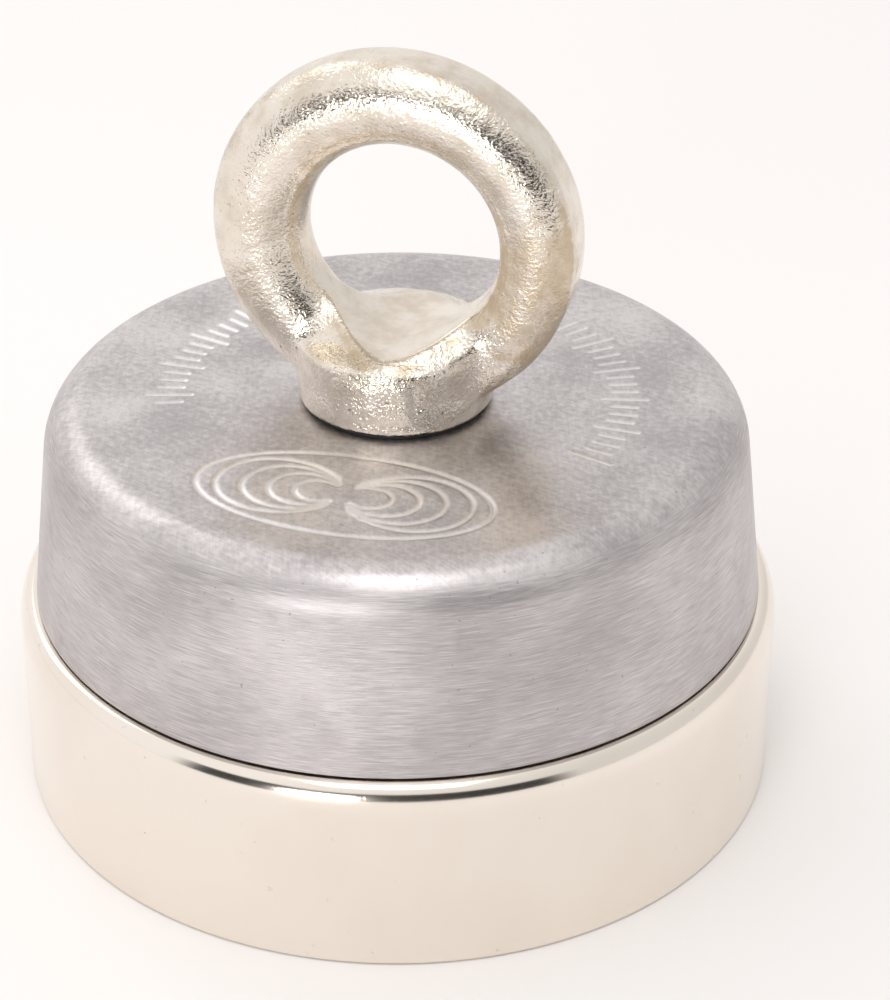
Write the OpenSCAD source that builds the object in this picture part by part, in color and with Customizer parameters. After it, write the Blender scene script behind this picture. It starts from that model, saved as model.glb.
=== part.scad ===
// Magnet fishing magnet.
//
// A neodymium ring magnet sits in a plated steel pot, face down. An aluminium
// cap shields the top of the pot, and one long M8 lifting eye bolt runs down
// through the cap's hub into the pot, so a rope pulls on the pot directly.
//
// Frame: origin at the middle of the pulling face, +Z up the bolt, and the
// eye's hole along Y. Every size is in millimetres.

/* [Steel pot] */
// Outside diameter of the pot
pot_d = 78; // [76:0.5:96]
// Height of the pot
pot_h = 20.7; // [18.2:0.5:26.2]
// Thickness of the pot's side wall
pot_wall = 6; // [4:0.5:8]
// Thickness of the plate that closes the pot's top
pot_roof = 8; // [7:0.5:9]
// Radius of the rounded edge round the pot's top
pot_edge_r = 1.5; // [0.5:0.1:3]
// Bevel on the lower outside edge, round the pulling face
foot_bevel = 0.5; // [0.2:0.1:1]
// Diameter of the threaded boss under the middle of the plate
boss_d = 14; // [13:0.5:18]
// Length of the boss below the plate
boss_l = 5; // [3:0.5:6]

/* [Magnet] */
// Gap round the magnet, which resin fills
resin_gap = 1.5; // [0.8:0.1:2.5]
// Depth of the magnet's face inside the pot's rim
face_recess = 0.4; // [0.2:0.1:1]
// Thickness of the glue film behind the magnet
bond_t = 0.2; // [0.1:0.05:0.4]
// Wall of the brass sleeve between the boss and the magnet
sleeve_wall = 1; // [0.8:0.1:2]

/* [Cap] */
// Distance from the pot's side in to the cap's rim
cap_inset = 1.7; // [1.2:0.1:4]
// How far the cap's side leans in from its rim to its top
cap_lean = 2.3; // [0.5:0.1:6]
// Height of the cap from its rim to its top
cap_h = 20.3; // [16:0.1:26]
// Radius of the rounded edge round the cap's top
cap_edge_r = 4.6; // [2:0.1:7]
// Bevel on the rim's outside edge
cap_rim_bevel = 0.6; // [0.2:0.1:1]
// Thickness of the cap's side wall
cap_wall = 3.5; // [2.5:0.1:5]
// Thickness of the cap's top
cap_roof = 5; // [4:0.1:7]
// Diameter of the hub that stands on the pot
hub_d = 24; // [20:0.5:30]
// Radial clearance of the bolt in the cap's hub
hub_clearance = 0.5; // [0.3:0.1:1]

/* [Seals] */
// Thickness of the gasket between the cap's rim and the pot
gasket_t = 0.3; // [0.2:0.05:0.6]
// Width of the gasket's flat ring
gasket_w = 2.4; // [1.5:0.1:3]
// Distance from the cap's rim in to the gasket's outer edge
gasket_inset = 0.5; // [0.3:0.1:0.8]
// Thickness of the washer seal under the eye bolt's collar
seal_t = 0.4; // [0.3:0.1:1]
// Distance from the collar's edge in to the seal's edge
seal_inset = 0.5; // [0.3:0.1:1]

/* [Eye bolt] */
// Outside diameter of the eye
eye_d = 36.8; // [34:0.1:40]
// Diameter of the eye's hole
eye_hole_d = 19.4; // [16:0.1:22]
// Diameter of the round bar that the eye is forged from
eye_bar_d = 9.6; // [9:0.1:11]
// Height of the eye's middle above the collar's underside
eye_rise = 17.6; // [17:0.1:20]
// Diameter of the collar
collar_d = 19.6; // [18:0.1:22]
// Bevel on the collar's lower edge
collar_bevel = 0.5; // [0.2:0.1:1]
// Height of the collar's upright side
collar_h = 6.6; // [5:0.1:7.4]
// Height of the cone between the collar's side and the eye's bar
root_h = 7; // [5:0.5:9]
// Diameter of the cone where it ends inside the eye's bar
root_top_d = 8; // [6:0.5:9]
// Nominal diameter of the thread
thread_d = 8; // [8:0.1:8]
// Pitch of the thread
thread_pitch = 1.25; // [1:0.05:1.25]
// Radial clearance of the shank in the threaded hole
thread_clearance = 0.05; // [0.03:0.01:0.08]
// Depth of the threaded hole left below the bolt's tip
tip_gap = 1; // [0.5:0.1:3]

/* [Hidden] */
$fn = 128;

nickel = [0.88, 0.84, 0.77];
eye_nickel = [0.80, 0.77, 0.70];
aluminium = [0.64, 0.64, 0.67];
magnet_plate = [0.74, 0.74, 0.73];
resin = [0.09, 0.09, 0.10];
brass = [0.75, 0.61, 0.32];
rubber = [0.04, 0.04, 0.04];
glue = [0.72, 0.68, 0.52];

past = 1;      // how far a cutter runs past the face it cuts

// The pot and what it holds
pot_r = pot_d / 2;
cavity_r = pot_r - pot_wall;
cavity_h = pot_h - pot_roof;
boss_r = boss_d / 2;
boss_z = cavity_h - boss_l;
magnet_r = cavity_r - resin_gap;
magnet_hole_r = boss_r + sleeve_wall;
magnet_top = cavity_h - bond_t;

// The cap, which stands on the pot by its hub
rim_z = pot_h + gasket_t;
cap_top_z = rim_z + cap_h;
cap_base_r = pot_r - cap_inset;
cap_top_r = cap_base_r - cap_lean;
hub_r = hub_d / 2;
cap_slope = atan(cap_lean / cap_h);
cap_inner_h = cap_h - cap_roof;

// The bolt: its own height zero is the underside of the collar
bolt_z = cap_top_z + seal_t;
collar_r = collar_d / 2;
thread_r = thread_d / 2;
shank_r = thread_r - thread_clearance;
shank_l = seal_t + cap_h + gasket_t + pot_roof + boss_l - tip_gap;
hub_bore_r = thread_r + hub_clearance;
tip_bevel = thread_pitch * 0.8;
eye_r = eye_d / 2;
eye_hole_r = eye_hole_d / 2;
eye_bar_r = eye_bar_d / 2;
eye_mid_r = (eye_r + eye_hole_r) / 2;

// A flat ring standing on height z
module flat_ring(outer_r, inner_r, z, h) {
    translate([0, 0, z]) difference() {
        cylinder(r = outer_r, h = h);
        translate([0, 0, -past]) cylinder(r = inner_r, h = h + 2 * past);
    }
}

// The waste outside a rounded corner: the corner square less its circle
module corner_waste(r) {
    difference() {
        square(r + past);
        circle(r = r);
    }
}

// The triangle that a bevel takes from a corner at the origin
module bevel_waste(b) {
    polygon([[-b, 0], [past, 0 + b + past], [past, -past], [-b - past, -past]]);
}

// Half the pot's section: plate, side wall and boss round the thread
module pot_section() {
    difference() {
        square([pot_r, pot_h]);
        translate([0, -past]) square([cavity_r, cavity_h + past]);
        translate([pot_r - pot_edge_r, pot_h - pot_edge_r]) corner_waste(pot_edge_r);
        translate([pot_r, 0]) bevel_waste(foot_bevel);
        translate([-past, 0]) square([thread_r + past, pot_h + past]);
    }
    translate([thread_r, boss_z]) square([boss_r - thread_r, boss_l + pot_roof / 2]);
}

module steel_pot() {
    color(nickel) rotate_extrude() pot_section();
}

module magnet() {
    color(magnet_plate)
    flat_ring(magnet_r, magnet_hole_r, face_recess, magnet_top - face_recess);
}

module magnet_bond() {
    color(glue) flat_ring(magnet_r, magnet_hole_r, magnet_top, bond_t);
}

module potting_ring() {
    color(resin) flat_ring(cavity_r, magnet_r, face_recess, cavity_h - face_recess);
}

module centre_sleeve() {
    color(brass) flat_ring(magnet_hole_r, boss_r, face_recess, cavity_h - face_recess);
}

module centre_plug() {
    color(resin)
    translate([0, 0, face_recess]) cylinder(r = boss_r, h = boss_z - face_recess);
}

module rim_gasket() {
    gasket_r = cap_base_r - gasket_inset;
    color(rubber) flat_ring(gasket_r, gasket_r - gasket_w, pot_h, gasket_t);
}

// Half the cap's outline: a sloping side with a rounded top edge
module cap_outline() {
    round_x = cap_base_r - tan(cap_slope) * (cap_h - cap_edge_r) - cap_edge_r / cos(cap_slope);
    round_y = cap_h - cap_edge_r;
    difference() {
        polygon([[0, 0], [cap_base_r, 0], [cap_top_r, cap_h], [0, cap_h]]);
        translate([round_x, round_y]) difference() {
            polygon([[0, 0], [cap_edge_r + past, tan(cap_slope) * (cap_edge_r + past)],
                     [cap_edge_r + past, cap_edge_r + past], [0, cap_edge_r + past]]);
            circle(r = cap_edge_r);
        }
        translate([cap_base_r, 0]) bevel_waste(cap_rim_bevel);
    }
}

// Half the hollow under the cap, between its hub and its side wall
module cap_hollow() {
    wall_x = cap_wall / cos(cap_slope);
    polygon([[hub_r, -past],
             [cap_base_r - wall_x + tan(cap_slope) * past, -past],
             [cap_base_r - wall_x - tan(cap_slope) * cap_inner_h, cap_inner_h],
             [hub_r, cap_inner_h]]);
}

module cap() {
    color(aluminium) translate([0, 0, rim_z]) rotate_extrude() {
        difference() {
            cap_outline();
            cap_hollow();
            translate([-past, -past]) square([hub_bore_r + past, cap_h + 2 * past]);
        }
        translate([hub_bore_r, -gasket_t]) square([hub_r - hub_bore_r, cap_inner_h]);
    }
}

module collar_seal() {
    color(rubber) flat_ring(collar_r - seal_inset, thread_r, cap_top_z, seal_t);
}

// The eye's bar: a round section, flattened in the hole and round the rim
module eye_ring() {
    translate([0, 0, eye_rise]) rotate([90, 0, 0]) rotate_extrude() intersection() {
        translate([eye_mid_r, 0]) circle(r = eye_bar_r);
        translate([eye_hole_r, -eye_bar_r]) square([eye_r - eye_hole_r, eye_bar_d]);
    }
}

// The collar and, on it, a cone that narrows upwards into the eye's bar
module collar() {
    cylinder(r1 = collar_r - collar_bevel, r2 = collar_r, h = collar_bevel);
    translate([0, 0, collar_bevel]) cylinder(r = collar_r, h = collar_h - collar_bevel);
    translate([0, 0, collar_h]) cylinder(r1 = collar_r, r2 = root_top_d / 2, h = root_h);
}

// Everything under the collar, where the eye's rim would reach through it
module below_collar() {
    translate([0, 0, -eye_d]) cylinder(r = eye_d, h = eye_d);
}

module shank() {
    translate([0, 0, tip_bevel - shank_l]) cylinder(r = shank_r, h = shank_l);
    translate([0, 0, -shank_l]) cylinder(r1 = shank_r - tip_bevel, r2 = shank_r, h = tip_bevel);
}

module eye_bolt() {
    color(eye_nickel) translate([0, 0, bolt_z]) {
        difference() {
            union() {
                eye_ring();
                collar();
            }
            translate([0, 0, eye_rise]) rotate([90, 0, 0])
            cylinder(r = eye_hole_r, h = eye_d, center = true);
            below_collar();
        }
        shank();
    }
}

steel_pot();
magnet();
magnet_bond();
potting_ring();
centre_sleeve();
centre_plug();
rim_gasket();
cap();
collar_seal();
eye_bolt();
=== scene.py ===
"""Finished surfaces, materials and studio for a magnet fishing magnet.

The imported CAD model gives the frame: each class below reads the box of its own
CAD node, works out a finer surface of the same size with numpy, and rides it on
the same body. Lengths inside the classes are in millimetres, and a mesh is
turned into metres when it is written.
"""

import logging
import math
from dataclasses import dataclass, field
from enum import Enum
from typing import Any, Callable, Optional, Sequence, Union

import bpy
import numpy as np
from mathutils import Matrix, Vector


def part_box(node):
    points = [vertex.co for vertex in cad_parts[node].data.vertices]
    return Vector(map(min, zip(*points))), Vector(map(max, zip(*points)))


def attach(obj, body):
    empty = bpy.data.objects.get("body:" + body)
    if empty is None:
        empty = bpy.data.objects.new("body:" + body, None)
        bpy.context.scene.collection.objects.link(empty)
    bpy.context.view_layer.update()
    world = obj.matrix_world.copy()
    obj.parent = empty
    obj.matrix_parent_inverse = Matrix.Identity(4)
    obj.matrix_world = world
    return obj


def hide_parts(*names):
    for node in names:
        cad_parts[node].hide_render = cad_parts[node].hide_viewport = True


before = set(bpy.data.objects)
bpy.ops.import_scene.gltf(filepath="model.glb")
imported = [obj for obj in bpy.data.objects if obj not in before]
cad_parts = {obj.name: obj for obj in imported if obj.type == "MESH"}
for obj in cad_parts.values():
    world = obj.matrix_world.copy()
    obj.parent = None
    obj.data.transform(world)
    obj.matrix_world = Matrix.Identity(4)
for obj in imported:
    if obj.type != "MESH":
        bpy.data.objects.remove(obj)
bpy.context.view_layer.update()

MM = 0.001
TURN = 2.0 * math.pi
log = logging.getLogger("magnet")


class Body(Enum):
    """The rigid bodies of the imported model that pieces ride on."""

    POT = "magnet_body"
    SEAL = "collar_seal"
    EYE = "eye_bolt"


class Slot(Enum):
    """The record's material slots."""

    POT = "pot_nickel"
    MAGNET = "magnet_nickel"
    BOND = "bond_glue"
    RESIN = "potting_resin"
    BRASS = "sleeve_brass"
    # Near-black seal: partly rubber, partly painted shade of the narrow gaps under the collar and
    # the cap's rim.
    SEAL_AND_GAP_SHADE = "seal_rubber"
    CAP = "cap_aluminium"
    EYE = "eye_nickel"


# ---------------------------------------------------------------- number work


def smooth_step(low: float, high: float, value: np.ndarray) -> np.ndarray:
    """Rise from 0 at low to 1 at high along 3t^2 - 2t^3."""
    t = np.clip((value - low) / (high - low), 0.0, 1.0)
    return t * t * (3.0 - 2.0 * t)


def bell(value: np.ndarray, height: float, middle: float, width: float) -> np.ndarray:
    """Draw a bell: height times exp(-t^2), with t the widths from its middle."""
    return height * np.exp(-(((value - middle) / width) ** 2))


def soft_min(a: np.ndarray, b: np.ndarray, reach: float) -> np.ndarray:
    """Join two distance fields with a fillet.

    Formula: the smaller of the two, less a quarter of reach times the square
    of how close they are, as a share of reach.

    Args:
        a: First field, in millimetres.
        b: Second field, in millimetres.
        reach: Distance over which the two blend.

    Returns:
        The joined field.
    """
    near = np.clip(reach - np.abs(a - b), 0.0, None) / reach
    return np.minimum(a, b) - near * near * reach * 0.25


def soft_max(a: np.ndarray, b: np.ndarray, reach: float) -> np.ndarray:
    """Cut one distance field by another, with the edge rounded over reach."""
    return -soft_min(-a, -b, reach)


def lattice_hash(cell: np.ndarray, seed: int) -> np.ndarray:
    """Give each whole-numbered lattice cell a fixed number from 0 to 1.

    Args:
        cell: Whole numbers, shape (..., 3).
        seed: Chooses one of many patterns.

    Returns:
        Numbers from 0 to 1, one per cell.
    """
    whole = cell.astype(np.int64)
    mixed = whole[..., 0] * 73856093 ^ whole[..., 1] * 19349663 ^ whole[..., 2] * 83492791
    mixed = (mixed + seed * 2654435761) & 0xFFFFFFFF
    mixed = ((mixed ^ (mixed >> 15)) * 2246822519) & 0xFFFFFFFF
    mixed = ((mixed ^ (mixed >> 13)) * 3266489917) & 0xFFFFFFFF
    return (mixed ^ (mixed >> 16)).astype(float) / 0xFFFFFFFF


def lumps(points: np.ndarray, size: float, seed: int) -> np.ndarray:
    """Smooth random lumps: lattice values blended along each axis.

    Args:
        points: Places in millimetres, shape (..., 3).
        size: Width of a lump, in millimetres.
        seed: Chooses one of many patterns.

    Returns:
        Heights from -1 to 1, one per point.
    """
    place = points / size
    cell = np.floor(place)
    t = place - cell
    t = t * t * (3.0 - 2.0 * t)
    total = np.zeros(points.shape[:-1])
    for corner in np.ndindex(2, 2, 2):
        step = np.array(corner, float)
        weight = np.prod(np.where(step > 0.5, t, 1.0 - t), axis=-1)
        total += weight * lattice_hash(cell + step, seed)
    return total * 2.0 - 1.0


@dataclass(frozen=True)
class Corner:
    """One corner of a section outline: radius r, height z and its rounding."""

    r: float
    z: float
    rounding: float = 0.0
    steps: int = 6


def rounded_section(corners: Sequence[Corner], hold: float = 0.12) -> np.ndarray:
    """Round every corner of a closed section with an arc.

    Formula: an arc of radius q in a corner that turns by angle a starts
    q * tan(a / 2) before the corner and ends as far after it. A point is
    added just before and just after each arc, so that flats stay flat.

    Args:
        corners: The outline's corners in order.
        hold: Distance of the extra points from the arc, in millimetres.

    Returns:
        Points (r, z) of the closed outline, shape (n, 2).
    """
    spots = np.array([(c.r, c.z) for c in corners], float)
    points = []
    for i, corner in enumerate(corners):
        here = spots[i]
        back = spots[i - 1] - here
        on = spots[(i + 1) % len(spots)] - here
        back_len, on_len = np.linalg.norm(back), np.linalg.norm(on)
        back, on = back / back_len, on / on_len
        if corner.rounding <= 0.0:
            points.append(here)
            continue
        half = 0.5 * math.acos(float(np.clip(np.dot(back, on), -1.0, 1.0)))
        reach = corner.rounding / math.tan(half)
        middle = here + (back + on) / np.linalg.norm(back + on) * corner.rounding / math.sin(half)
        start, end = here + back * reach - middle, here + on * reach - middle
        first = math.atan2(start[1], start[0])
        sweep = math.remainder(math.atan2(end[1], end[0]) - first, TURN)
        angles = first + sweep * np.linspace(0.0, 1.0, corner.steps + 1)
        if back_len > reach + 2.0 * hold:
            points.append(here + back * (reach + hold))
        arc = middle + corner.rounding * np.stack([np.cos(angles), np.sin(angles)], -1)
        points.extend(arc)
        if on_len > reach + 2.0 * hold:
            points.append(here + on * (reach + hold))
    return np.array(points, float)


# ------------------------------------------------------------------- meshes


@dataclass
class Patch:
    """A grid of points in millimetres, joined into four-sided faces."""

    points: np.ndarray
    wrap_rows: bool = False
    wrap_columns: bool = True
    close_ends: bool = False
    material: int = 0
    marks: dict[str, np.ndarray] = field(default_factory=dict)

    def faces(self) -> tuple[np.ndarray, np.ndarray]:
        """Number the grid's corners into quads, and into triangles at its ends.

        Returns:
            Quads, shape (n, 4), and end triangles, shape (m, 3). The two end
            points come after the grid's own points.
        """
        rows, columns = self.points.shape[:2]
        number = np.arange(rows * columns).reshape(rows, columns)
        down = np.roll(number, -1, 0) if self.wrap_rows else number[1:]
        top = number if self.wrap_rows else number[:-1]
        top_next, down_next = np.roll(top, -1, 1), np.roll(down, -1, 1)
        if not self.wrap_columns:
            top, down = top[:, :-1], down[:, :-1]
            top_next, down_next = top_next[:, :-1], down_next[:, :-1]
        quads = np.stack([top, top_next, down_next, down], -1).reshape(-1, 4)
        if not self.close_ends:
            return quads, np.zeros((0, 3), int)
        first, last = rows * columns, rows * columns + 1
        head = np.stack([np.roll(number[0], -1), number[0], np.full(columns, first)], -1)
        tail = np.stack([number[-1], np.roll(number[-1], -1), np.full(columns, last)], -1)
        return quads, np.concatenate([head, tail])

    def all_points(self) -> np.ndarray:
        """List the grid's points, and the middle of each end if it is closed."""
        flat = self.points.reshape(-1, 3)
        if not self.close_ends:
            return flat
        return np.concatenate([flat, [self.points[0].mean(0)], [self.points[-1].mean(0)]])

    def all_marks(self, name: str) -> np.ndarray:
        """List one attribute's value for each point of all_points."""
        count = len(self.all_points())
        values = np.zeros(count)
        if name in self.marks:
            flat = self.marks[name].reshape(-1)
            values[: len(flat)] = flat
        return values


def enclosed_volume(points: np.ndarray, triangles: np.ndarray) -> float:
    """Sum the signed volumes of the tetrahedra from the origin to each face."""
    a, b, c = (points[triangles[:, i]] for i in range(3))
    return float(np.sum(np.einsum("ij,ij->i", a, np.cross(b, c))) / 6.0)


def build_mesh(name: str, patches: Sequence[Patch]) -> bpy.types.Object:
    """Write patches into one mesh object at the origin, faces outwards.

    Args:
        name: The object's name.
        patches: Closed grids, in millimetres.

    Returns:
        The new object, with smooth faces and the patches' attributes.
    """
    points, loops, starts, totals, slots = [], [], [], [], []
    point_count, loop_count = 0, 0
    for patch in patches:
        spots = patch.all_points()
        quads, ends = patch.faces()
        halves = np.concatenate([quads[:, [0, 1, 2]], quads[:, [0, 2, 3]], ends])
        if enclosed_volume(spots, halves) < 0.0:
            quads, ends = quads[:, ::-1], ends[:, ::-1]
        for corners in (quads, ends):
            width = corners.shape[1]
            loops.append((corners + point_count).reshape(-1))
            starts.append(loop_count + width * np.arange(len(corners)))
            totals.append(np.full(len(corners), width))
            slots.append(np.full(len(corners), patch.material))
            loop_count += corners.size
        points.append(spots)
        point_count += len(spots)
    place = np.concatenate(points) * MM
    loop, start = np.concatenate(loops), np.concatenate(starts)
    mesh = bpy.data.meshes.new(name)
    mesh.vertices.add(len(place))
    mesh.vertices.foreach_set("co", place.astype(np.float32).reshape(-1))
    mesh.loops.add(len(loop))
    mesh.loops.foreach_set("vertex_index", loop.astype(np.int32))
    mesh.polygons.add(len(start))
    mesh.polygons.foreach_set("loop_start", start.astype(np.int32))
    mesh.polygons.foreach_set("loop_total", np.concatenate(totals).astype(np.int32))
    mesh.update(calc_edges=True)
    mesh.polygons.foreach_set("material_index", np.concatenate(slots).astype(np.int32))
    mesh.polygons.foreach_set("use_smooth", np.ones(len(start), bool))
    for mark in sorted({key for patch in patches for key in patch.marks}):
        layer = mesh.attributes.new(mark, "FLOAT", "POINT")
        values = np.concatenate([patch.all_marks(mark) for patch in patches])
        layer.data.foreach_set("value", values.astype(np.float32))
    mesh.validate()
    mesh.update()
    piece = bpy.data.objects.new(name, mesh)
    bpy.context.scene.collection.objects.link(piece)
    return piece


def revolve(section: np.ndarray, angles: np.ndarray) -> np.ndarray:
    """Carry a section (r, z) round the Z axis: (r cos a, r sin a, z).

    Args:
        section: Points (r, z), shape (n, 2).
        angles: Angles in radians, shape (m,).

    Returns:
        Points, shape (n, m, 3).
    """
    r, z = section[:, :1], section[:, 1:]
    return np.stack([r * np.cos(angles), r * np.sin(angles), z + 0.0 * angles], -1)


def even_angles(count: int) -> np.ndarray:
    """Spread count angles evenly over one turn."""
    return np.arange(count) * TURN / count


# ------------------------------------------------------------ shader writing

Value = Union["Wire", float]


def operator(operation: str, flipped: bool = False) -> Callable[["Wire", Value], "Wire"]:
    """Make one of Python's operators for wires.

    Args:
        operation: The Math node's operation.
        flipped: Whether the wire is the second term.

    Returns:
        A method that adds the node.
    """
    def method(self: "Wire", other: Value) -> "Wire":
        """Add the node."""
        return self.bench.math(operation, *((other, self) if flipped else (self, other)))

    return method


class Wire:
    """A node's output socket, on which Python's operators add Math nodes."""

    __add__ = operator("ADD")
    __radd__ = operator("ADD", flipped=True)
    __sub__ = operator("SUBTRACT")
    __rsub__ = operator("SUBTRACT", flipped=True)
    __mul__ = operator("MULTIPLY")
    __truediv__ = operator("DIVIDE")
    most = operator("MAXIMUM")

    def __init__(self, bench: "Bench", socket: bpy.types.NodeSocket) -> None:
        """Keep the socket and the node bench that it belongs to."""
        self.bench = bench
        self.socket = socket

    def root(self) -> "Wire":
        """Take the square root."""
        return self.bench.math("SQRT", self)

    def rise(self, low: float, high: float) -> "Wire":
        """Go from 0 at low to 1 at high, smoothly; low may be the larger."""
        settings = {"interpolation_type": "SMOOTHSTEP"}
        if low < high:
            numbers = {0: self, 1: low, 2: high, 3: 0.0, 4: 1.0}
        else:
            numbers = {0: self, 1: high, 2: low, 3: 1.0, 4: 0.0}
        return self.bench.node("ShaderNodeMapRange", settings, numbers)[0]


class Outputs:
    """A new node's outputs, by number or by name, as wires."""

    def __init__(self, bench: "Bench", node: bpy.types.Node) -> None:
        """Keep the node."""
        self.bench = bench
        self.raw = node

    def __getitem__(self, key: Union[int, str]) -> Wire:
        """Give one output."""
        return Wire(self.bench, self.raw.outputs[key])


class Bench:
    """Adds nodes to one node tree."""

    def __init__(self, owner: Union[bpy.types.Material, bpy.types.World]) -> None:
        """Empty the owner's node tree."""
        owner.use_nodes = True
        self.tree = owner.node_tree
        self.tree.nodes.clear()

    def node(self, kind: str, settings: dict[str, Any], inputs: dict[Any, Any]) -> Outputs:
        """Add any node.

        Args:
            kind: The node's type name.
            settings: Properties, set before its sockets are filled.
            inputs: Values or wires, by socket name or number.

        Returns:
            The node's outputs.
        """
        made = self.tree.nodes.new(kind)
        for key, value in settings.items():
            setattr(made, key, value)
        for key, value in inputs.items():
            if isinstance(value, Wire):
                self.tree.links.new(value.socket, made.inputs[key])
            else:
                made.inputs[key].default_value = value
        return Outputs(self, made)

    def math(self, operation: str, *terms: Value) -> Wire:
        """Add a Math node on one or two terms."""
        return self.node("ShaderNodeMath", {"operation": operation}, dict(enumerate(terms)))[0]

    def split(self, vector: Wire) -> tuple[Wire, Wire, Wire]:
        """Take a vector apart into x, y and z."""
        parts = self.node("ShaderNodeSeparateXYZ", {}, {0: vector})
        return parts[0], parts[1], parts[2]

    def join(self, x: Value, y: Value, z: Value) -> Wire:
        """Put x, y and z together into a vector."""
        return self.node("ShaderNodeCombineXYZ", {}, {0: x, 1: y, 2: z})[0]

    def window(self, value: Wire, low: float, high: float, soft: float) -> Wire:
        """Give 1 from low to high and 0 outside, with soft edges."""
        return value.rise(low - soft, low + soft) * value.rise(high + soft, high - soft)

    def blend(self, factor: Value, first: Any, second: Any) -> Wire:
        """Mix two colours."""
        settings = {"data_type": "RGBA"}
        first = first if isinstance(first, Wire) else (*first, 1.0)
        second = second if isinstance(second, Wire) else (*second, 1.0)
        return self.node("ShaderNodeMix", settings, {0: factor, 6: first, 7: second})[2]


class Surface(Bench):
    """Builds one material's nodes round a Principled shader."""

    def __init__(self, name: str) -> None:
        """Start a material with a Principled shader and object coordinates."""
        self.material = bpy.data.materials.new(name)
        super().__init__(self.material)
        out = self.tree.nodes.new("ShaderNodeOutputMaterial")
        self.shader = self.tree.nodes.new("ShaderNodeBsdfPrincipled")
        self.tree.links.new(self.shader.outputs[0], out.inputs[0])
        self.place = self.node("ShaderNodeTexCoord", {}, {})["Object"]

    def noise(self, size_mm: float, detail: float = 2.0, where: Optional[Wire] = None,
              roughness: float = 0.5) -> Wire:
        """Noise from 0 to 1 whose grains are about size_mm across.

        Args:
            size_mm: Grain size, in millimetres.
            detail: How many finer layers are added.
            where: Coordinates, or the object's own if left out.
            roughness: Strength of the finer layers.

        Returns:
            The noise value.
        """
        inputs = {"Vector": where or self.place, "Scale": 1.0 / (size_mm * MM),
                  "Detail": detail, "Roughness": roughness}
        return self.node("ShaderNodeTexNoise", {}, inputs)["Fac"]

    def attribute(self, name: str) -> Wire:
        """Read one of the piece's own attributes."""
        return self.node("ShaderNodeAttribute", {"attribute_name": name}, {})["Fac"]

    def axis(self) -> tuple[Wire, Wire, Wire, Wire]:
        """Give x, y, z and the distance from the Z axis."""
        x, y, z = self.split(self.place)
        return x, y, z, (x * x + y * y).root()

    def turning(self, pitch_mm: float) -> Wire:
        """Noise in lines round the Z axis, about pitch_mm apart."""
        x, y, z, radius = self.axis()
        return self.noise(pitch_mm, 3.0, self.join(x * 0.02, y * 0.02, z + radius))

    def bump(self, height: Wire, depth_mm: float) -> Wire:
        """Turn a height into a normal, where a height of 1 is depth_mm deep."""
        inputs = {"Height": height, "Strength": 1.0, "Distance": depth_mm * MM}
        return self.node("ShaderNodeBump", {}, inputs)["Normal"]

    def finish(self, inputs: dict[str, Any]) -> bpy.types.Material:
        """Fill the Principled shader's sockets and give the material."""
        for key, value in inputs.items():
            socket = self.shader.inputs[key]
            if isinstance(value, Wire):
                self.tree.links.new(value.socket, socket)
            elif isinstance(value, tuple) and len(value) == 3:
                socket.default_value = (*value, 1.0)
            else:
                socket.default_value = value
        return self.material


Colour = tuple[float, float, float]


@dataclass(frozen=True)
class BrightNickel:
    """Smooth nickel plate over turned steel, with faint lathe lines."""

    name: str = "bright nickel plate"
    clean: Colour = (0.87, 0.81, 0.735)
    dull: Colour = (0.83, 0.76, 0.68)
    speck: Colour = (0.45, 0.38, 0.30)
    roughness: float = 0.07
    line_mm: float = 0.22
    line_depth_mm: float = 0.0012

    def make(self) -> bpy.types.Material:
        """Build the material.

        Returns:
            A metal whose lathe lines run round the Z axis, with soft smears.
        """
        bench = Surface(self.name)
        x, y, z = bench.split(bench.place)
        lines = bench.turning(self.line_mm)
        smears = bench.noise(16.0, 3.0, bench.join(x, y, z * 0.6))
        specks = bench.noise(1.1, 2.0).rise(0.70, 0.78)
        colour = bench.blend(smears.rise(0.42, 0.75), self.clean, self.dull)
        colour = bench.blend(specks * 0.25, colour, self.speck)
        roughness = self.roughness + smears * 0.14 + specks * 0.2
        return bench.finish({
            "Base Color": colour, "Metallic": 1.0, "Roughness": roughness,
            "Normal": bench.bump(lines, self.line_depth_mm),
        })


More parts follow.
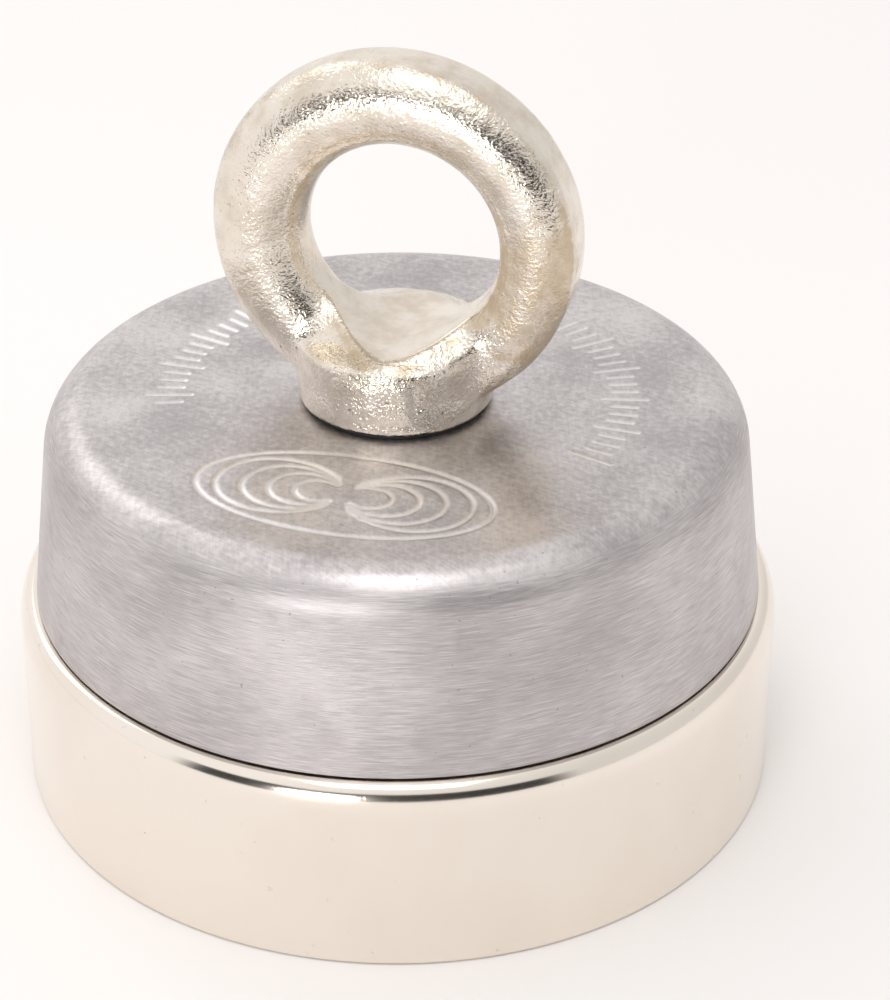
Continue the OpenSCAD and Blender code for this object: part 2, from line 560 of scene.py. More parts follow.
@dataclass(frozen=True)
class TurnedAluminium:
    """Scuffed aluminium: round scratches on the side, strokes on the top."""

    top_z_mm: float
    name: str = "scuffed turned aluminium"
    light: Colour = (0.70, 0.67, 0.665)
    dark: Colour = (0.43, 0.405, 0.41)
    # Colour of the engraved lines: fresh-cut metal, with a painted highlight for the groove walls
    # catching the light.
    stroke: Colour = (0.88, 0.86, 0.85)
    stain: Colour = (0.30, 0.29, 0.30)
    pit: Colour = (0.16, 0.16, 0.17)
    roughness: float = 0.28
    depth_mm: float = 0.012

    def side_scratches(self, bench: Surface) -> tuple[Wire, Wire]:
        """Give the scratches round the side, and the finer hair between them."""
        x, y, z, radius = bench.axis()
        along = radius.most(0.004)
        x, y = x / along, y / along
        lines = bench.noise(1.0, 4.0, bench.join(x * 0.014, y * 0.014, z * 13.0), 0.6)
        return lines, bench.noise(1.0, 2.0, bench.join(x * 0.03, y * 0.03, z * 26.0))

    def top_strokes(self, bench: Surface) -> tuple[Wire, Wire]:
        """Give the top's mix of slanted strokes, hair and grain, and the strokes."""
        x, y, _, _ = bench.axis()
        slanted = bench.join((x * 0.94 - y * 0.35) * 0.35, (x * 0.35 + y * 0.94) * 5.0, 0.0)
        strokes = bench.noise(1.0, 4.0, slanted, 0.6)
        hair = bench.noise(1.0, 3.0, bench.join(x * 3.4 + y * 1.1, y * 0.5 - x * 0.3, 0.0))
        return strokes * 0.35 + hair * 0.2 + bench.noise(0.7, 3.0) * 0.45, strokes

    def make(self) -> bpy.types.Material:
        """Build the material.

        Returns:
            A metal with fine scratches, small pits, soft stains, and a bright
            cut surface where the "cut" attribute marks the engraving, lighter
            partly as fresh-cut metal and partly as a painted highlight.
        """
        bench = Surface(self.name)
        x, y, z = bench.split(bench.place)
        top = z.rise((self.top_z_mm - 2.2) * MM, (self.top_z_mm - 0.5) * MM)
        side = 1.0 - top
        side_lines, side_hair = self.side_scratches(bench)
        top_lines, top_hair = self.top_strokes(bench)
        lines = side_lines * side + top_lines * top
        hair = side_hair * side + top_hair * top
        clouds = bench.noise(9.0, 4.0)
        stains = bench.noise(4.5, 3.0, bench.join(x, y, z + 0.3)).rise(0.60, 0.80)
        pits = bench.noise(0.55, 1.0).rise(0.74, 0.80)
        cut = bench.attribute("cut")
        tone = lines * (0.88 + top * 0.12) + clouds * (0.36 + top * 0.24) - 0.13 - top * 0.14
        colour = bench.blend(tone.rise(0.30, 0.74), self.dark, self.light)
        colour = bench.blend(stains * 0.30, colour, self.stain)
        colour = bench.blend(pits * 0.45, colour, self.pit)
        # Engraved lines lighter: partly bare fresh-cut metal, partly a painted highlight for the
        # groove walls catching the light.
        colour = bench.blend(cut * 0.65, colour, self.stroke)
        scuffed = side * 0.10 + lines * 0.14 + stains * 0.10 - cut * 0.06
        height = (lines * 0.7 + hair * 0.3) * (1.9 - top * 1.2) - pits * 0.6
        return bench.finish({
            "Base Color": colour, "Metallic": 1.0, "Roughness": self.roughness + scuffed,
            "Normal": bench.bump(height, self.depth_mm),
        })


@dataclass(frozen=True)
class ForgedNickel:
    """Nickel plate over a rough forging, stained yellow-brown in places."""

    name: str = "nickel over rough forging"
    clean: Colour = (0.84, 0.78, 0.69)
    shade: Colour = (0.70, 0.63, 0.53)
    stain: Colour = (0.52, 0.38, 0.21)
    speck: Colour = (0.30, 0.25, 0.19)
    roughness: float = 0.09
    grain_mm: float = 0.36
    grain_depth_mm: float = 0.13

    def make(self) -> bpy.types.Material:
        """Build the material.

        Returns:
            A metal with blasted grain. The "smooth" attribute calms it, or
            coarsens it below 0, and the "stain" attribute dirties it.
        """
        bench = Surface(self.name)
        calm = bench.attribute("smooth")
        dirt = bench.attribute("stain")
        grain = bench.noise(self.grain_mm, 2.0, roughness=0.6)
        ripple = bench.noise(1.3, 3.0, roughness=0.55)
        patches = bench.noise(3.2, 4.0, roughness=0.6)
        blots = bench.noise(1.5, 4.0, roughness=0.7)
        dirt_mask = (dirt * 0.50 + patches * 0.65 + blots * 0.55).rise(0.82, 1.15)
        specks = bench.noise(0.5, 2.0).rise(0.66, 0.74)
        colour = bench.blend(patches.rise(0.35, 0.70), self.clean, self.shade)
        colour = bench.blend(dirt_mask * 0.50, colour, self.stain)
        colour = bench.blend(specks * (1.0 - calm) * 0.45, colour, self.speck)
        roughness = self.roughness + dirt_mask * 0.25 + patches * 0.10 + calm * 0.10
        height = (grain * 0.75 + ripple * 0.6) * (1.0 - calm * 0.72)
        return bench.finish({
            "Base Color": colour, "Metallic": 1.0, "Roughness": roughness,
            "Normal": bench.bump(height, self.grain_depth_mm),
        })


@dataclass(frozen=True)
class PlainMetal:
    """A plain plated or turned metal with fine turning lines."""

    name: str
    colour: Colour
    worn: Colour
    roughness: float

    def make(self) -> bpy.types.Material:
        """Build the material.

        Returns:
            A metal with lines round the Z axis and faint wear.
        """
        bench = Surface(self.name)
        lines = bench.turning(0.30)
        wear = bench.noise(5.0, 4.0).rise(0.45, 0.72)
        return bench.finish({
            "Base Color": bench.blend(wear * 0.7, self.colour, self.worn),
            "Metallic": 1.0, "Roughness": self.roughness + wear * 0.12,
            "Normal": bench.bump(lines, 0.003),
        })


@dataclass(frozen=True)
class CastResin:
    """Poured resin, glossy with a faint skin and a few bubbles."""

    name: str
    colour: Colour
    haze: Colour
    roughness: float

    def make(self) -> bpy.types.Material:
        """Build the material.

        Returns:
            A dark plastic with haze, soft ripples and pin-holes.
        """
        bench = Surface(self.name)
        haze = bench.noise(3.0, 4.0).rise(0.40, 0.75)
        ripple = bench.noise(2.2, 2.0)
        holes = bench.noise(0.6, 1.0).rise(0.76, 0.82)
        return bench.finish({
            "Base Color": bench.blend(haze * 0.6, self.colour, self.haze),
            "Roughness": self.roughness + haze * 0.2,
            "Normal": bench.bump(ripple - holes * 0.5, 0.02),
        })


# ------------------------------------------------------------------- pieces


@dataclass
class NodeBox:
    """The box of one CAD node, in millimetres."""

    node: str

    def __post_init__(self) -> None:
        """Read the box from the frame."""
        low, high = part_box(self.node)
        self.low_z = low.z / MM
        self.high_z = high.z / MM
        self.radius = high.x / MM


def dress(piece: bpy.types.Object, materials: Sequence[bpy.types.Material], body: Body,
          node: str) -> None:
    """Give a piece its materials and tie it to the frame.

    Args:
        piece: The finished piece.
        materials: Its materials, in the order of its patches' numbers.
        body: The body that it rides on.
        node: The CAD node that it stands for.
    """
    for material in materials:
        piece.data.materials.append(material)
    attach(piece, body.value)
    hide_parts(node)
    count = sum(len(polygon.vertices) - 2 for polygon in piece.data.polygons)
    log.info("%s stands for %s: %d triangles", piece.name, node, count)


@dataclass
class SteelPot:
    """The plated cup: side wall, plate and threaded boss in one section."""

    wall: float = 6.0
    roof: float = 8.0
    boss_radius: float = 7.0
    boss_length: float = 5.0
    bore_radius: float = 4.0
    top_rounding: float = 1.5
    top_stretch: float = 1.9
    foot_rounding: float = 0.5
    columns: int = 360

    def build(self) -> None:
        """Build the pot as a closed section carried round the axis.

        Formula: the arc of the upper edge is stretched downwards, so that
        each depth below the top is multiplied by top_stretch.
        """
        box = NodeBox("steel_pot")
        plate_z = box.high_z - self.roof
        inner = box.radius - self.wall
        section = rounded_section([
            Corner(box.radius, box.low_z, self.foot_rounding),
            Corner(box.radius, box.high_z, self.top_rounding, 12),
            Corner(self.bore_radius, box.high_z, 0.3, 3),
            Corner(self.bore_radius, plate_z - self.boss_length, 0.3, 3),
            Corner(self.boss_radius, plate_z - self.boss_length, 0.2, 3),
            Corner(self.boss_radius, plate_z, 0.3, 3),
            Corner(inner, plate_z, 0.3, 3),
            Corner(inner, box.low_z, 0.25, 3),
        ])
        depth = box.high_z - section[:, 1]
        outer = section[:, 0] > box.radius - 2.0 * self.top_rounding
        edge = outer & (depth < 1.2 * self.top_rounding)
        section[:, 1] = np.where(edge, box.high_z - depth * self.top_stretch, section[:, 1])
        patch = Patch(revolve(section, even_angles(self.columns)), wrap_rows=True)
        piece = build_mesh("pot_shell", [patch])
        dress(piece, [BrightNickel().make()], Body.POT, "steel_pot")


@dataclass
class RingPiece:
    """A flat ring or a disc with small rounded edges."""

    name: str
    node: str
    inner: float
    slot: Slot
    material: bpy.types.Material
    body: Body = Body.POT
    rounding: float = 0.1
    columns: int = 256

    def build(self) -> None:
        """Build the ring between the heights of its CAD node."""
        box = NodeBox(self.node)
        edge = self.rounding
        if self.inner > 0.0:
            section = rounded_section([
                Corner(box.radius, box.low_z, edge, 3), Corner(box.radius, box.high_z, edge, 3),
                Corner(self.inner, box.high_z, edge, 3), Corner(self.inner, box.low_z, edge, 3),
            ], edge)
            patch = Patch(revolve(section, even_angles(self.columns)), wrap_rows=True)
        else:
            tilt = np.linspace(-90.0, 90.0, 9) * math.pi / 180.0
            turn_r = box.radius - edge + edge * np.cos(tilt)
            turn_z = np.where(tilt < 0.0, box.low_z + edge, box.high_z - edge) + edge * np.sin(tilt)
            rim = np.stack([turn_r, turn_z], -1)
            low = np.array([[0.5 * box.radius, box.low_z], [box.radius - 3 * edge, box.low_z]])
            section = np.concatenate([low, rim, low[::-1] * [1, 0] + [0, box.high_z]])
            patch = Patch(revolve(section, even_angles(self.columns)), close_ends=True)
        dress(build_mesh(self.name, [patch]), [self.material], self.body, self.node)


@dataclass
class Engraving:
    """Shallow marks cut into the cap's top: two rows of strokes and an emblem.

    The rows are long and short strokes set radially along two arcs, as on a
    scale; each is given by its first angle and its number of strokes. The
    emblem is a set of field lines of a bar magnet inside an oval.
    """

    row_radius: float = 22.8
    row_step: float = 3.9 * math.pi / 180.0
    left_row: tuple[float, int] = (147.0 * math.pi / 180.0, 14)
    right_row: tuple[float, int] = (-21.0 * math.pi / 180.0, 20)
    long_bar: float = 2.2
    short_bar: float = 1.2
    line_half_width: float = 0.22
    emblem_middle: tuple[float, float] = (0.5, -20.3)
    loop_reaches: tuple[float, ...] = (12.6, 10.0, 7.4, 4.8)
    oval: tuple[float, float] = (14.6, 7.2)
    depth: float = 0.14
    zone: tuple[float, float] = (11.8, 29.4)
    row_gap: float = 0.2
    columns: int = 600

    def bars(self, x: np.ndarray, y: np.ndarray, first: float, count: int) -> np.ndarray:
        """Distance to the nearest stroke of one row.

        Formula: with t the distance along the arc from a stroke and q the
        distance past its end along the radius, the distance is hypot(t, q).

        Args:
            x: Places across the cap, in millimetres.
            y: Places along the cap, in millimetres.
            first: Angle at which the row starts.
            count: Number of strokes.

        Returns:
            Distance from each place to the nearest line, in millimetres.
        """
        radius = np.hypot(x, y)
        turned = np.mod(np.arctan2(y, x) - first, TURN)
        index = np.clip(np.floor(turned / self.row_step), 0, count - 1)
        t = (turned - (index + 0.5) * self.row_step) * radius
        half = np.where(np.mod(index, 4) < 0.5, self.long_bar, self.short_bar)
        q = np.clip(np.abs(radius - self.row_radius) - half, 0.0, None)
        return np.hypot(t, q)

    def emblem(self, x: np.ndarray, y: np.ndarray) -> np.ndarray:
        """Distance to the nearest line of the emblem.

        Formula: a field line that reaches out to L has its points at the
        distance p = L sin^2 a, where a is the angle from the magnet's axis.
        So L = p^3 / x^2, and the distance to the line of a given L is the
        difference in L over the slope of L.

        Args:
            x: Places across the cap, in millimetres.
            y: Places along the cap, in millimetres.

        Returns:
            Distance from each place to the nearest line, in millimetres.
        """
        across, up = x - self.emblem_middle[0], y - self.emblem_middle[1]
        out = np.hypot(across, up) + 1e-6
        side = np.abs(across) + 1e-3
        reach = out ** 3 / side ** 2
        slope = (out / side) ** 2 * np.sqrt(1.0 + 4.0 * (up / side) ** 2)
        wide, tall = self.oval
        scaled = np.hypot(across / wide, up / tall) + 1e-6
        shown = (out > 1.5) & (scaled < 1.0) & (side > 0.34 * out)
        nearest = np.full(out.shape, 9.0)
        for loop in self.loop_reaches:
            nearest = np.minimum(nearest, np.where(shown, np.abs(reach - loop) / slope, 9.0))
        pull = np.hypot(across / wide ** 2, up / tall ** 2) / scaled
        return np.minimum(nearest, np.abs(scaled - 1.0) / np.maximum(pull, 1e-3))

    def cut(self, x: np.ndarray, y: np.ndarray) -> np.ndarray:
        """How deep each place is cut, from 0 for plain to 1 for a line."""
        nearest = self.emblem(x, y)
        for first, count in (self.left_row, self.right_row):
            nearest = np.minimum(nearest, self.bars(x, y, first, count))
        return 1.0 - smooth_step(self.line_half_width * 0.5, self.line_half_width * 2.0, nearest)

    def angles(self) -> np.ndarray:
        """Angles for the cap's columns: fine where there are marks.

        Returns:
            Angles over one turn, in radians.
        """
        pad = 0.5 * self.row_step
        zones = [(first - pad, first + count * self.row_step + pad)
                 for first, count in (self.left_row, self.right_row)]
        emblem_half = 0.82
        front = -0.5 * math.pi + 0.02
        zones.append((front - emblem_half, front + emblem_half))
        fine = np.linspace(0.0, TURN, 20001)
        dense = np.zeros(len(fine))
        for low, high in zones:
            inside = np.mod(fine - low, TURN) < high - low
            dense = np.maximum(dense, inside.astype(float))
        weight = np.cumsum(0.22 + dense)
        weight = (weight - weight[0]) / (weight[-1] - weight[0])
        return np.interp(np.arange(self.columns) / self.columns, weight, fine)


@dataclass
class Cap:
    """The aluminium cap: one closed section with an engraved top.

    The outer edge of its rim hangs over the gasket by rim_lip.
    """

    top_radius: float = 35.0
    rim_drop: float = 0.3
    wall: float = 3.5
    roof: float = 5.0
    hub_radius: float = 12.0
    bore_radius: float = 4.5
    top_rounding: float = 4.6
    rim_rounding: float = 0.1
    rim_lip: float = 0.14
    engraving: Engraving = field(default_factory=Engraving)

    def build(self) -> None:
        """Build the cap, cut the marks into its top and dress it."""
        box = NodeBox("cap")
        rim_z = box.low_z + self.rim_drop
        rim_radius = box.radius
        slope = (rim_radius - self.top_radius) / (box.high_z - rim_z)
        hollow_z = box.high_z - self.roof
        section = rounded_section([
            Corner(rim_radius, rim_z - self.rim_lip, self.rim_rounding, 5),
            Corner(self.top_radius, box.high_z, self.top_rounding, 20),
            Corner(self.bore_radius, box.high_z, 0.35, 3),
            Corner(self.bore_radius, box.low_z, 0.35, 3),
            Corner(self.hub_radius, box.low_z, 0.35, 3),
            Corner(self.hub_radius, hollow_z, 1.5, 5),
            Corner(rim_radius - self.wall - slope * (hollow_z - rim_z), hollow_z, 2.0, 5),
            Corner(rim_radius - self.wall, rim_z, 0.3, 3),
        ])
        section = self.fill_top(section, box.high_z)
        points = revolve(section, self.engraving.angles())
        x, y, z = points[..., 0], points[..., 1], points[..., 2]
        on_top = z > box.high_z - 1e-6
        cut = np.where(on_top, self.engraving.cut(x, y), 0.0)
        points[..., 2] = z - cut * self.engraving.depth
        patch = Patch(points, wrap_rows=True, marks={"cut": cut})
        piece = build_mesh("cap_shell", [patch])
        finish = TurnedAluminium(top_z_mm=box.high_z)
        dress(piece, [finish.make()], Body.POT, "cap")

    def fill_top(self, section: np.ndarray, top_z: float) -> np.ndarray:
        """Add rows across the flat top, close together where it is engraved.

        Args:
            section: The cap's closed section.
            top_z: Height of the top.

        Returns:
            The section with the extra rows.
        """
        flat = np.flatnonzero(np.abs(section[:, 1] - top_z) < 1e-6)
        outer, inner = section[flat[0], 0], section[flat[-1], 0]
        (low, high), gap = self.engraving.zone, self.engraving.row_gap
        fine = np.arange(high - gap, low + 0.5 * gap, -gap)
        radii = np.concatenate([np.linspace(outer, high, 5)[1:], fine, np.linspace(low, inner, 5)])
        rows = np.stack([radii, np.full(len(radii), top_z)], -1)
        return np.concatenate([section[: flat[0] + 1], rows[:-1], section[flat[-1]:]])


@dataclass
class EyeBolt:
    """The forged eye, its collar and the threaded shank."""

    eye_radius: float = 18.4
    hole_radius: float = 9.85
    hole_shift: float = 1.1
    bar_radius: float = 4.58
    rise: float = 17.6
    collar_radius: float = 9.8
    collar_height: float = 6.6
    cone_lean: float = 1.15
    back_lean: float = 1.1
    cone_aside: float = 0.20
    wedge: float = 0.50
    root_fillet: float = 1.6
    waist: tuple[float, float, float] = (0.25, 3.4, 1.6)
    seam: tuple[float, float, float] = (0.14, 1.2, 0.30)
    pad_z: float = 3.6
    pad_half: tuple[float, float] = (3.4, 1.3)
    pad_corner: float = 0.7
    pad_rise: float = 0.14
    shank_radius: float = 3.95
    pitch: float = 1.25
    thread_depth: float = 0.68
    columns: int = 480
    rows: int = 150

    def from_hole(self, p: np.ndarray) -> np.ndarray:
        """Distance from the hole's axis, which lies a little to one side."""
        return np.hypot(p[..., 0] - self.hole_shift, p[..., 2] - self.rise)

    def field(self, p: np.ndarray) -> np.ndarray:
        """Signed distance, roughly, to the forging's surface.

        Formula: a bar between the rim and the hole, cut by the rim's cylinder
        and joined softly to the collar. The collar is a cylinder with a cone
        on it, and the cone draws in to a wedge, so that its distance turns
        from hypot(x, y) into |y| + wedge * |x| as it rises. A bell curve
        gives the collar its shallow waist, and another the seam round the
        hole: each has a height, a place and a width. The hole's cylinder and
        the collar's underside cut what is left.

        Args:
            p: Places in millimetres from the middle of the collar's underside.

        Returns:
            Negative inside, positive outside.
        """
        x, y, z = p[..., 0], p[..., 1], p[..., 2]
        out = np.hypot(x, z - self.rise)
        shift = self.hole_shift * x / (out + 1e-6)
        middle = 0.5 * (self.eye_radius + self.hole_radius + shift)
        bar = np.hypot(out - middle, y) - self.bar_radius + 0.2 * shift
        bar = soft_max(bar, out - self.eye_radius, 0.2)
        away = np.hypot(x, y) - self.collar_radius
        waist = bell(z, *self.waist)
        rise = z - self.collar_height
        aside = x - self.cone_aside * np.clip(rise, 0.0, None)
        drawn = smooth_step(-0.2, 1.1, rise)
        wedge = np.abs(y) + self.wedge * np.abs(x - 1.2 * self.hole_shift)
        lean = np.hypot(aside, y) * (1.0 - drawn) + wedge * drawn
        lean = lean - self.collar_radius
        steep = self.cone_lean + self.back_lean * smooth_step(0.0, 4.0, y)
        lean = (lean + steep * rise) / np.hypot(1.0, steep)
        collar = soft_max(away + waist, lean, 0.4)
        solid = soft_min(bar, soft_max(collar, z - 13.0, 1.0), self.root_fillet)
        hole = self.from_hole(p) - self.hole_radius
        seam = bell(hole, *self.seam) * smooth_step(4.0, 9.0, rise)
        solid = soft_min(solid - seam, self.raised_pad(p), 0.25)
        solid = soft_max(solid, -hole, 0.25)
        return soft_max(solid, -z, 0.5)

    def raised_pad(self, p: np.ndarray) -> np.ndarray:
        """A low plain pad on the front of the collar.

        Formula: with t the distance round the collar and h the height from
        the pad's middle, a rounded box is hypot(max(|t| - a, 0),
        max(|h| - b, 0)) less its corner radius.

        Args:
            p: Places in millimetres from the middle of the collar's underside.

        Returns:
            Distance to the pad.
        """
        radius = np.hypot(p[..., 0], p[..., 1])
        across = np.abs(self.collar_radius * np.arctan2(p[..., 0], -p[..., 1])) - self.pad_half[0]
        height = np.abs(p[..., 2] - self.pad_z) - self.pad_half[1]
        edge = np.hypot(np.clip(across, 0.0, None), np.clip(height, 0.0, None)) - self.pad_corner
        pad = soft_max(edge, radius - self.collar_radius - self.pad_rise, 0.35)
        return np.where(radius > 0.8 * self.collar_radius, pad, 9.0)

    def forging(self, base_z: float) -> Patch:
        """Find the forging's surface along rays from the bar's centre line.

        Formula: from each point of the circle that runs inside the bar, rays
        go out in the plane across the bar, at every angle, and stop where
        the field changes sign. The search steps outwards, then halves.

        Args:
            base_z: Height of the collar's underside.

        Returns:
            The closed grid with its "smooth" and "stain" attributes.
        """
        middle = 0.5 * (self.eye_radius + self.hole_radius)
        turn = even_angles(self.columns)[:, None]
        tilt = even_angles(self.rows)[None, :]
        out = np.stack([np.cos(turn), 0.0 * turn, np.sin(turn)], -1)
        ray = np.cos(tilt)[..., None] * out + np.sin(tilt)[..., None] * np.array([0.0, 1.0, 0.0])
        start = out * middle + np.array([0.0, 0.0, self.rise]) + 0.0 * ray
        low = np.zeros(ray.shape[:-1])
        stride, farthest = 0.4, 13.0
        for step in np.arange(stride, farthest, stride):
            inside = self.field(start + ray * step) < 0.0
            low = np.where(inside & (low > step - 1.5 * stride), step, low)
        high = low + stride
        for _ in range(14):
            mid = 0.5 * (low + high)
            inside = self.field(start + ray * mid[..., None]) < 0.0
            low, high = np.where(inside, mid, low), np.where(inside, high, mid)
        points = start + ray * low[..., None]
        out_now = np.hypot(points[..., 0], points[..., 2] - self.rise)
        in_hole = 1.0 - smooth_step(0.05, 0.5, self.from_hole(points) - self.hole_radius)
        on_rim = smooth_step(-0.25, -0.05, out_now - self.eye_radius)
        # Broad and fine lumps of the forging, and coarser ones low on the collar.
        rough = 0.035 * lumps(points, 3.4, 3) + 0.02 * lumps(points, 0.8, 5)
        low_down = smooth_step(self.collar_height + 1.0, self.collar_height - 1.0, points[..., 2])
        rough = (rough + 0.035 * low_down * lumps(points, 1.3, 7)) * (1.0 - 0.8 * in_hole)
        points = points + ray * (rough - 0.03)[..., None]
        stain = self.stains(points, in_hole, on_rim)
        smooth = np.clip(in_hole + 0.75 * on_rim - 0.8 * low_down, -0.8, 1.0)
        points[..., 2] += base_z
        return Patch(points, wrap_rows=True, marks={"smooth": smooth, "stain": stain})

    def stains(self, points: np.ndarray, in_hole: np.ndarray, on_rim: np.ndarray) -> np.ndarray:
        """Say where dirt gathers: along the hole's edge, the rim and low down.

        Args:
            points: Places on the forging.
            in_hole: How far each place belongs to the hole's wall.
            on_rim: How far each place belongs to the rim's flat.

        Returns:
            Amount of dirt from 0 to 1.
        """
        out = np.hypot(points[..., 0], points[..., 2] - self.rise)
        hole_edge = bell(self.from_hole(points), 1.0, self.hole_radius + 0.8, 0.5)
        rim_edge = bell(out, 1.0, self.eye_radius - 0.35, 0.3)
        right_leg = smooth_step(6.0, 14.0, points[..., 0]) * smooth_step(26.0, 18.0, points[..., 2])
        broad = 0.5 + 0.5 * lumps(points, 6.0, 11)
        total = 0.40 * hole_edge + 0.40 * rim_edge + 0.75 * right_leg + 0.5 * broad
        return np.clip(total * (1.0 - 0.7 * in_hole) * (1.0 - 0.6 * on_rim), 0.0, 1.0)

    def shank(self, base_z: float, tip_z: float) -> Patch:
        """Cut the thread: a right-handed ridge round a plain core.

        Formula: at angle a and height z the ridge's phase is z / pitch less
        a / turn. The radius rises along straight flanks from the root, which
        is a quarter of the pitch wide, to the crest, which is an eighth.

        Args:
            base_z: Height of the collar's underside.
            tip_z: Height of the shank's tip.

        Returns:
            The closed grid.
        """
        angles = even_angles(56)
        heights = np.linspace(0.0, base_z + 1.5 - tip_z, 400)[:, None]
        phase = np.mod(heights / self.pitch - angles / TURN, 1.0)
        ridge = np.abs(phase - 0.5) * 2.0
        flank = np.clip((ridge - 0.25) / 0.625, 0.0, 1.0)
        to_base = base_z - tip_z - heights
        runout = smooth_step(0.4, 2.4, to_base)
        radius = self.shank_radius - self.thread_depth * (1.0 - flank * runout)
        radius = np.minimum(radius, self.shank_radius - 1.0 + heights)
        points = np.stack([radius * np.cos(angles), radius * np.sin(angles),
                           heights + tip_z + 0.0 * angles], -1)
        calm = np.full(radius.shape, 1.0)
        marks = {"smooth": calm, "stain": 0.3 * calm}
        return Patch(points, close_ends=True, material=1, marks=marks)

    def build(self) -> None:
        """Build the bolt as one piece and dress it."""
        box = NodeBox("eye_bolt")
        base_z = NodeBox("collar_seal").high_z
        patches = [self.forging(base_z), self.shank(base_z, box.low_z)]
        piece = build_mesh("eye_bolt_forged", patches)
        thread = PlainMetal("plated thread", (0.74, 0.71, 0.65), (0.52, 0.46, 0.38), 0.24)
        dress(piece, [ForgedNickel().make(), thread.make()], Body.EYE, "eye_bolt")


# ------------------------------------------------------------------- studio


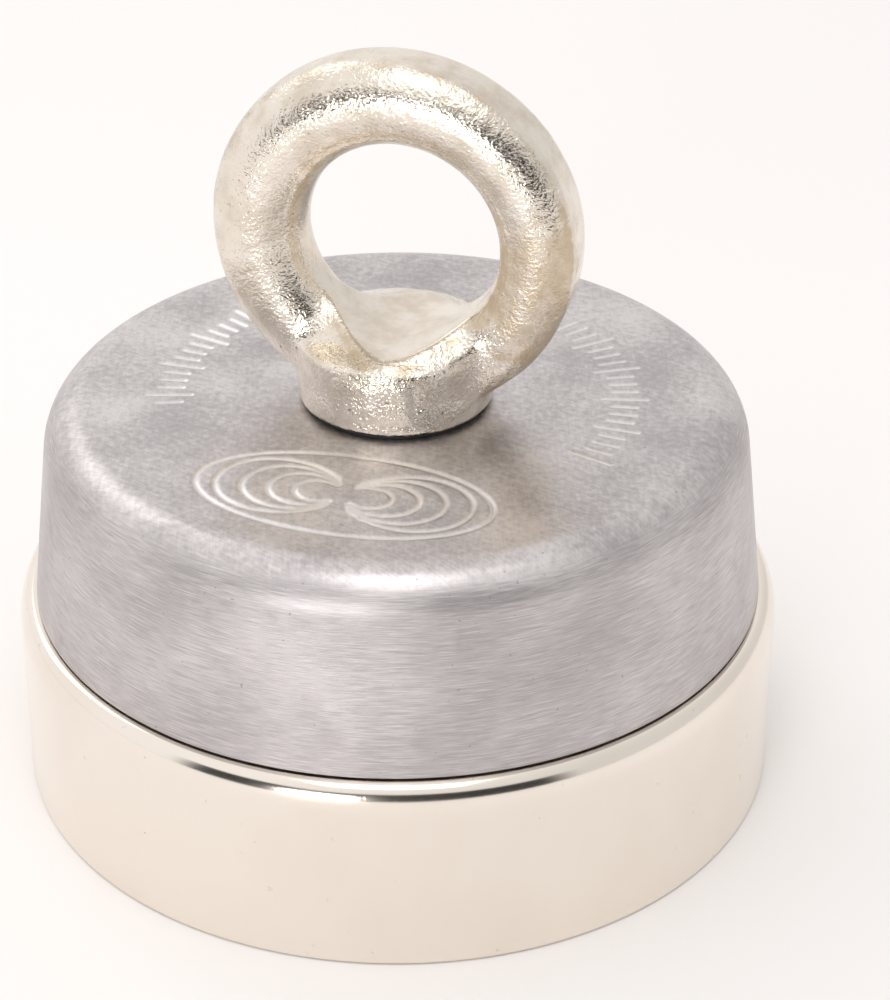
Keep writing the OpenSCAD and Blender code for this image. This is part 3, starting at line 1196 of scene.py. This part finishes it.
@dataclass
class Studio:
    """Floor, soft lights and the camera."""

    floor_half: float = 2.5
    target: Vector = field(default_factory=lambda: Vector((0.0, 0.0, 0.02737)))
    distance: float = 0.3069
    azimuth: float = 16.0
    elevation: float = 31.14
    roll: float = -0.007
    lens: float = 107.7
    shift: tuple[float, float] = (0.0478, 0.0125)

    def towards(self, azimuth: float, elevation: float) -> Vector:
        """Direction from the target to a point of the studio's sky.

        Args:
            azimuth: Degrees round to the right from the object's front.
            elevation: Degrees above the floor.

        Returns:
            A unit vector.
        """
        turn, tilt = math.radians(azimuth), math.radians(elevation)
        flat = math.cos(tilt)
        return Vector((math.sin(turn) * flat, -math.cos(turn) * flat, math.sin(tilt)))

    def camera(self) -> None:
        """Stand the camera where it looks down on the object's front."""
        data = bpy.data.cameras.new("camera")
        data.lens = self.lens
        data.shift_x, data.shift_y = self.shift
        data.clip_start, data.clip_end = 0.01, 20.0
        eye = bpy.data.objects.new("camera", data)
        away = self.towards(self.azimuth, self.elevation)
        turn = away.to_track_quat("Z", "Y").to_matrix().to_4x4()
        spot = Matrix.Translation(self.target + away * self.distance)
        eye.matrix_world = spot @ turn @ Matrix.Rotation(self.roll, 4, "Z")
        bpy.context.scene.collection.objects.link(eye)
        bpy.context.scene.camera = eye

    def softbox(self, name: str, azimuth: float, elevation: float, away: float,
                size: tuple[float, float], glow: float, tint: Colour) -> None:
        """Hang a soft light that faces the object.

        Args:
            name: The light's name.
            azimuth: Degrees to the right of the object's front.
            elevation: Degrees above the floor.
            away: Distance from the object, in metres.
            size: Width and height of the light, in metres.
            glow: How bright its face is, where 1 is the room's own white.
            tint: Its colour.
        """
        data = bpy.data.lights.new(name, "AREA")
        data.shape = "RECTANGLE"
        data.size, data.size_y = size
        data.energy = glow * math.pi * size[0] * size[1]
        data.color = tint
        lamp = bpy.data.objects.new(name, data)
        out = self.towards(azimuth, elevation)
        turn = out.to_track_quat("Z", "Y").to_matrix().to_4x4()
        lamp.matrix_world = Matrix.Translation(self.target + out * away) @ turn
        bpy.context.scene.collection.objects.link(lamp)

    def sky(self) -> None:
        """Light the room with white walls that are dimmer on the right.

        A dark zone stands low in front, with a gap that a low light fills.
        """
        world = bpy.data.worlds.new("studio")
        bench = Bench(world)
        way = bench.node("ShaderNodeTexCoord", {}, {})["Generated"]
        height = bench.split(way)[2]
        parts = []
        for turn in (0.0, 90.0):
            numbers = {0: way, 1: self.towards(self.azimuth + turn, 0.0)}
            parts.append(bench.node("ShaderNodeVectorMath", {"operation": "DOT_PRODUCT"},
                                    numbers)["Value"])
        front, right = parts
        round_it = bench.math("ARCTAN2", right, front)
        wall = 1.03 - right.rise(-0.4, 1.0) * 0.27
        dark = bench.window(height, -0.20, 0.42, 0.03) * bench.window(round_it, -1.06, 0.80, 0.10)
        gap = bench.window(round_it, -0.54, -0.21, 0.04) * height.rise(0.19, 0.11)
        glow = wall * (1.0 - dark * (1.0 - gap) * 0.95)
        seen = bench.node("ShaderNodeLightPath", {}, {})["Is Camera Ray"]
        glow = glow * (1.0 - seen) + seen * 0.93
        lit = bench.node("ShaderNodeBackground", {}, {"Color": (1.0, 0.975, 0.965, 1.0),
                                                      "Strength": glow})[0]
        bench.node("ShaderNodeOutputWorld", {}, {"Surface": lit})
        bpy.context.scene.world = world

    def floor(self) -> None:
        """Lay a wide pale floor with a soft paper grain."""
        bench = Surface("pale studio paper")
        cloud = bench.noise(240.0, 3.0)
        material = bench.finish({
            "Base Color": bench.blend(cloud * 0.3, (0.93, 0.91, 0.90), (0.90, 0.88, 0.87)),
            "Roughness": 0.75, "Normal": bench.bump(bench.noise(0.4, 2.0), 0.004),
        })
        half = self.floor_half / MM
        line = np.linspace(-half, half, 9)
        x, y = np.meshgrid(line, line)
        patch = Patch(np.stack([x, y, 0.0 * x], -1), wrap_columns=False)
        mesh = build_mesh("studio_floor", [patch])
        mesh.data.materials.append(material)

    def build(self) -> None:
        """Set up the whole studio."""
        self.camera()
        self.sky()
        self.floor()
        self.softbox("top_light", 14.0, 69.0, 0.8, (0.40, 0.48), 2.0, (1.0, 0.99, 0.98))
        self.softbox("low_light", self.azimuth - 22.0, 6.5, 1.0, (0.30, 0.22), 12.0,
                     (1.0, 0.99, 0.98))
        self.softbox("left_light", -125.0, 40.0, 1.1, (0.5, 0.5), 1.0, (1.0, 0.98, 0.96))
        bpy.context.scene.view_settings.view_transform = "Standard"


def hidden_finishes() -> None:
    """Give the CAD nodes that stay a material of their own."""
    glue = CastResin("cured glue", (0.55, 0.47, 0.28), (0.62, 0.56, 0.40), 0.4).make()
    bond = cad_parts["magnet_bond"]
    bond.data.materials.clear()
    bond.data.materials.append(glue)
    log.info("magnet_bond keeps its CAD shape")


def main() -> None:
    """Build every piece, then the studio."""
    logging.basicConfig(level=logging.INFO, format="%(name)s: %(message)s")
    plate = PlainMetal("satin magnet plate", (0.66, 0.66, 0.65), (0.54, 0.53, 0.51), 0.28).make()
    resin = CastResin("black potting resin", (0.012, 0.012, 0.014), (0.05, 0.05, 0.055), 0.28).make()
    brass = PlainMetal("turned brass", (0.80, 0.60, 0.27), (0.56, 0.39, 0.17), 0.26).make()
    # Near-black colour for the collar washer and rim gasket: partly black rubber, partly painted
    # shade of the narrow gaps under the collar and the cap's rim.
    seal_black_and_gap_shade = CastResin("black seal and painted gap shade", (0.008, 0.008, 0.008), (0.03, 0.03, 0.03), 0.55).make()
    SteelPot().build()
    RingPiece("magnet_ring", "magnet", 8.0, Slot.MAGNET, plate, rounding=0.3).build()
    RingPiece("potting_fill", "potting_ring", 31.5, Slot.RESIN, resin).build()
    RingPiece("sleeve_ring", "centre_sleeve", 7.0, Slot.BRASS, brass).build()
    RingPiece("plug_disc", "centre_plug", 0.0, Slot.RESIN, resin, rounding=0.2).build()
    # Near-black gasket: partly rubber, partly painted shade of the gap under the cap's rim.
    RingPiece("rim_gasket_ring", "rim_gasket", 34.4, Slot.SEAL_AND_GAP_SHADE, seal_black_and_gap_shade).build()
    Cap().build()
    # Near-black washer: partly rubber, partly painted shade of the gap under the collar.
    RingPiece("collar_washer", "collar_seal", 4.0, Slot.SEAL_AND_GAP_SHADE, seal_black_and_gap_shade, Body.SEAL).build()
    EyeBolt().build()
    hidden_finishes()
    Studio().build()


if __name__ == "__main__":
    main()
